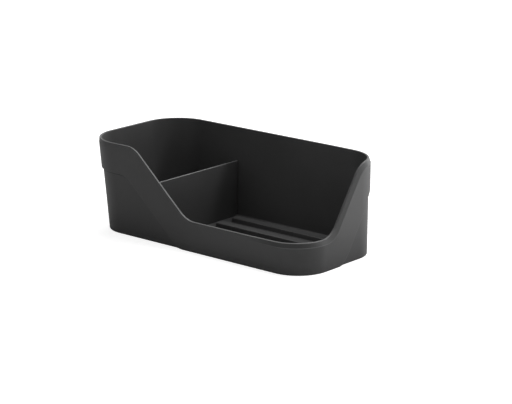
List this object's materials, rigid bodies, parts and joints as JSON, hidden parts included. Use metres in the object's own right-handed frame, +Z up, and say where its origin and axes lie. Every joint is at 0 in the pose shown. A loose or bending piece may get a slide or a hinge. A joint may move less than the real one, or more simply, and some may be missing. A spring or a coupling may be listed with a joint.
{
  "type": "tool storage caddy",
  "caption": "Open rounded tub with a scooped front corner, high back, ribbed floor and a lift-out divider, for keeping hand tools upright and small parts in reach.",
  "frame": {"origin": "centre of the overall box, on the table face of the foot ring", "axes": "+X along the length, with the two-sided small compartment at -X; -Y towards the user and the low front wall; +Z up"},
  "size_m": [0.2696, 0.131, 0.0934],
  "materials": {
    "tub_plastic": "satin black moulded polypropylene with a fine even grain",
    "divider_plastic": "satin black moulded polypropylene with a fine even grain"
  },
  "bodies": {
    "tub": {"tub": "tub_plastic"},
    "divider": {"divider": "divider_plastic"}
  },
  "joints": [
    {"name": "divider_lift", "type": "slide", "parent": "tub", "child": "divider", "axis": [0, 0, 1], "range_m": [0, 0.095]}
  ]
}
